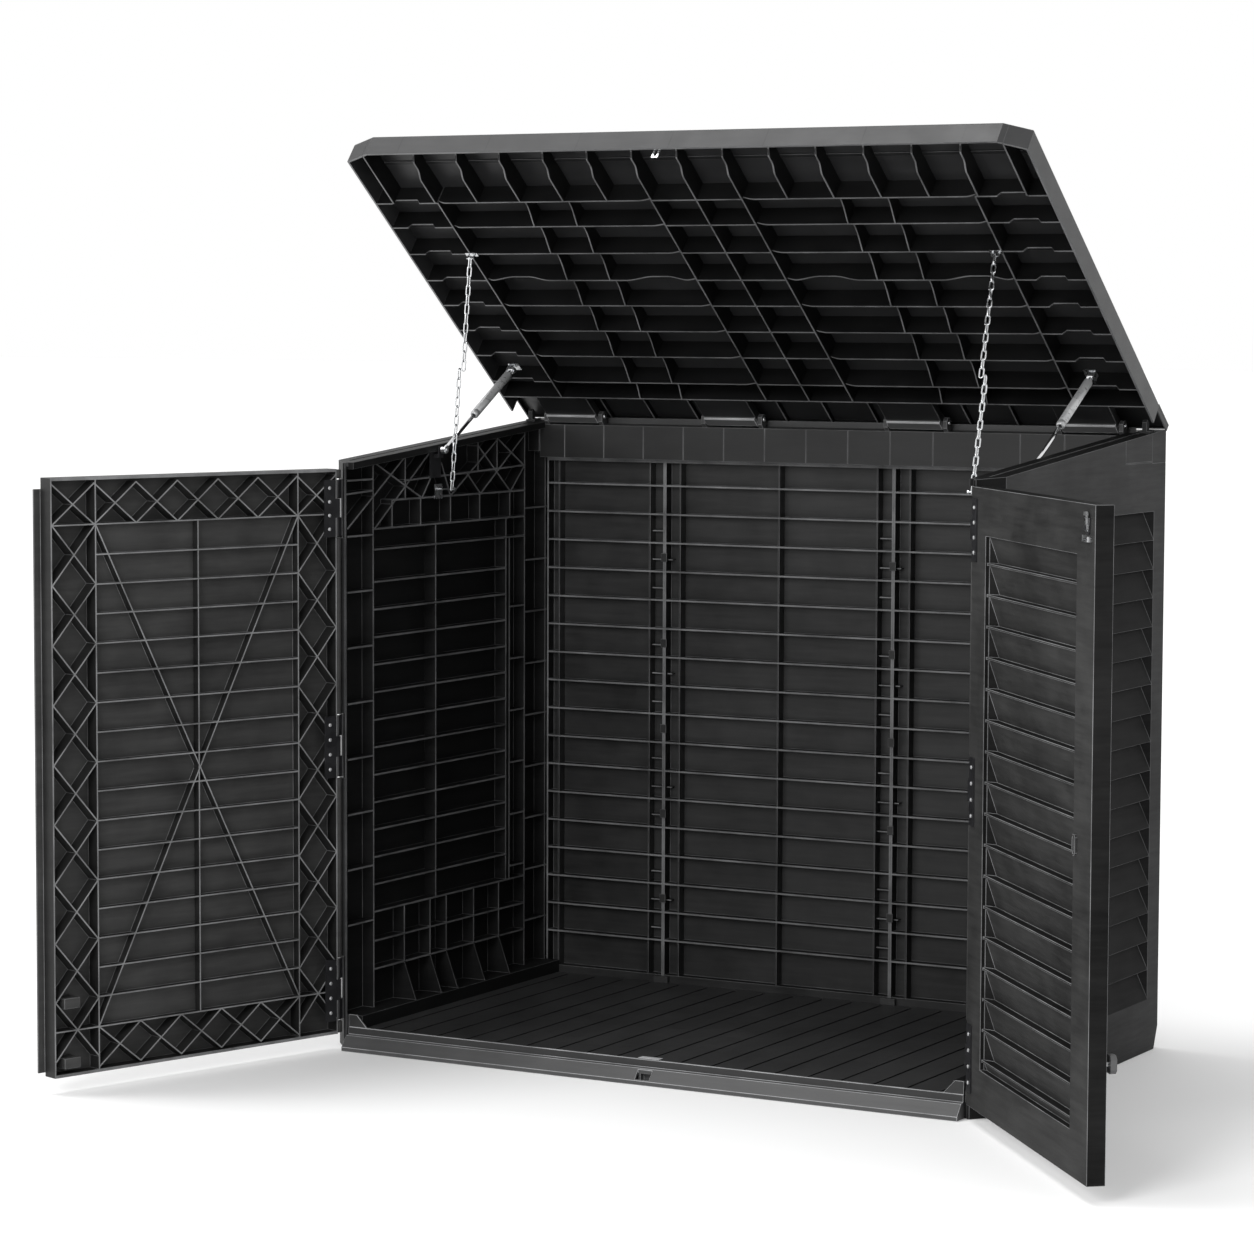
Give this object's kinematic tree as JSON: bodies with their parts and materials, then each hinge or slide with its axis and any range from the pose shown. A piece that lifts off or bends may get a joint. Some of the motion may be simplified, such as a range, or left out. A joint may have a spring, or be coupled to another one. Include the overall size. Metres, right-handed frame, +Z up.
{
  "type": "wheelie bin store",
  "caption": "Ribbed plastic store for wheeled bins with a lifting ribbed lid on gas struts and chains, and two louvred front doors.",
  "frame": {"origin": "on the ground, at the centre of the base's underside", "axes": "+X to the right seen from the front, +Y to the rear wall, +Z up"},
  "size_m": [2.1199, 1.524, 1.8352],
  "materials": {
    "anthracite_plastic": "fine moulded grain",
    "black_plastic": "smooth matt",
    "grey_plastic": "smooth",
    "galvanised_steel": "bright zinc",
    "chromed_steel": "polished",
    "grey_painted_steel": "satin",
    "black_painted_steel": "satin"
  },
  "bodies": {
    "store": {"base_floor": "anthracite_plastic", "bolt_keeper": "anthracite_plastic", "cap_rear_left": "anthracite_plastic", "cap_rear_right": "anthracite_plastic", "chain_left_stud": "galvanised_steel", "chain_right_stud": "galvanised_steel", "floor_clips": "black_plastic", "front_sill": "anthracite_plastic", "lid_hinge_lugs": "anthracite_plastic", "lid_hinge_pins": "galvanised_steel", "lid_post_left": "anthracite_plastic", "lid_post_right": "anthracite_plastic", "panel_clips": "black_plastic", "rear_panel_centre": "anthracite_plastic", "rear_panel_left": "anthracite_plastic", "rear_panel_right": "anthracite_plastic", "rear_rail": "anthracite_plastic", "strut_left_wall_bracket": "black_painted_steel", "strut_right_wall_bracket": "black_painted_steel", "wall_left": "anthracite_plastic", "wall_left_hinge_leaves": "black_painted_steel", "wall_left_hinge_pins": "galvanised_steel", "wall_right": "anthracite_plastic", "wall_right_hinge_leaves": "black_painted_steel", "wall_right_hinge_pins": "galvanised_steel"},
    "lid": {"lid_panel": "anthracite_plastic", "lid_hinge_barrels": "anthracite_plastic", "lid_catch": "galvanised_steel", "chain_left_eye": "galvanised_steel", "chain_right_eye": "galvanised_steel", "strut_left_lid_bracket": "black_painted_steel", "strut_right_lid_bracket": "black_painted_steel"},
    "door_left": {"door_left_panel": "anthracite_plastic", "door_left_astragal": "anthracite_plastic", "door_left_bosses": "anthracite_plastic", "door_left_hinge_leaves": "black_painted_steel"},
    "door_right": {"door_right_panel": "anthracite_plastic", "door_right_grip": "anthracite_plastic", "door_right_hinge_leaves": "black_painted_steel", "bolt_guide_upper": "black_plastic", "bolt_guide_lower": "black_plastic", "latch_plate": "galvanised_steel", "latch_rest": "galvanised_steel"},
    "drop_bolt": {"drop_bolt_rod": "grey_painted_steel", "drop_bolt_knob": "grey_plastic"},
    "latch": {"latch_hook": "galvanised_steel"},
    "strut_left_tube": {"strut_left_tube": "grey_painted_steel", "strut_left_upper_end": "galvanised_steel"},
    "strut_left_rod": {"strut_left_rod": "chromed_steel", "strut_left_lower_end": "galvanised_steel"},
    "chain_left_upper": {"chain_left_upper": "galvanised_steel"},
    "chain_left_lower": {"chain_left_lower": "galvanised_steel"},
    "strut_right_tube": {"strut_right_tube": "grey_painted_steel", "strut_right_upper_end": "galvanised_steel"},
    "strut_right_rod": {"strut_right_rod": "chromed_steel", "strut_right_lower_end": "galvanised_steel"},
    "chain_right_upper": {"chain_right_upper": "galvanised_steel"},
    "chain_right_lower": {"chain_right_lower": "galvanised_steel"}
  },
  "joints": [
    {"name": "lid_hinge", "type": "hinge", "parent": "store", "child": "lid", "pos_m": [0, 0.365, 1.262], "axis": [1, 0, 0], "range_deg": [0, 43.45]},
    {"name": "door_left_hinge", "type": "hinge", "parent": "store", "child": "door_left", "pos_m": [-0.697, -0.419, 0.6], "axis": [0, 0, -1], "range_deg": [-107.5, 27.5]},
    {"name": "door_right_hinge", "type": "hinge", "parent": "store", "child": "door_right", "pos_m": [0.697, -0.419, 0.6], "axis": [0, 0, 1], "range_deg": [-131.1, 3.9]},
    {"name": "drop_bolt_slide", "type": "slide", "parent": "door_right", "child": "drop_bolt", "axis": [0, 0, -1], "range_m": [0, 0.03]},
    {"name": "latch_turn", "type": "hinge", "parent": "door_right", "child": "latch", "pos_m": [1.12599, -0.92597, 1.13327], "axis": [-0.7536, -0.6574, 0], "range_deg": [-90, 0]},
    {"name": "strut_left_swing", "type": "hinge", "parent": "lid", "child": "strut_left_tube", "pos_m": [-0.662, 0.20372, 1.36131], "axis": [1, 0, 0], "range_deg": [-68.66, 0]},
    {"name": "strut_left_stroke", "type": "slide", "parent": "strut_left_tube", "child": "strut_left_rod", "axis": [0, 0.8593, 0.5114], "range_m": [0, 0.06759]},
    {"name": "chain_left_upper_swing", "type": "hinge", "parent": "lid", "child": "chain_left_upper", "pos_m": [-0.588, -0.08606, 1.59444], "axis": [1, 0, 0], "range_deg": [-62.74, 0]},
    {"name": "chain_left_lower_swing", "type": "hinge", "parent": "store", "child": "chain_left_lower", "pos_m": [-0.6506, -0.0567, 1.1184], "axis": [1, 0, 0], "range_deg": [0, 123.28]},
    {"name": "strut_right_swing", "type": "hinge", "parent": "lid", "child": "strut_right_tube", "pos_m": [0.662, 0.20372, 1.36131], "axis": [1, 0, 0], "range_deg": [-68.66, 0]},
    {"name": "strut_right_stroke", "type": "slide", "parent": "strut_right_tube", "child": "strut_right_rod", "axis": [0, 0.8593, 0.5114], "range_m": [0, 0.06759]},
    {"name": "chain_right_upper_swing", "type": "hinge", "parent": "lid", "child": "chain_right_upper", "pos_m": [0.581, -0.08606, 1.59444], "axis": [1, 0, 0], "range_deg": [-25.99, 0]},
    {"name": "chain_right_lower_swing", "type": "hinge", "parent": "store", "child": "chain_right_lower", "pos_m": [0.6598, -0.3562, 1.1574], "axis": [1, 0, 0], "range_deg": [-124.48, 0]}
  ],
  "couplings": [
    {"joint": "strut_left_swing", "follows": "lid_hinge", "ratio": -1.58},
    {"joint": "strut_left_stroke", "follows": "lid_hinge", "m_per_rad": 0.089115},
    {"joint": "chain_left_upper_swing", "follows": "lid_hinge", "ratio": -1.4438},
    {"joint": "chain_left_lower_swing", "follows": "lid_hinge", "ratio": 2.8371},
    {"joint": "strut_right_swing", "follows": "lid_hinge", "ratio": -1.58},
    {"joint": "strut_right_stroke", "follows": "lid_hinge", "m_per_rad": 0.089115},
    {"joint": "chain_right_upper_swing", "follows": "lid_hinge", "ratio": -0.59797},
    {"joint": "chain_right_lower_swing", "follows": "lid_hinge", "ratio": -2.8648}
  ]
}
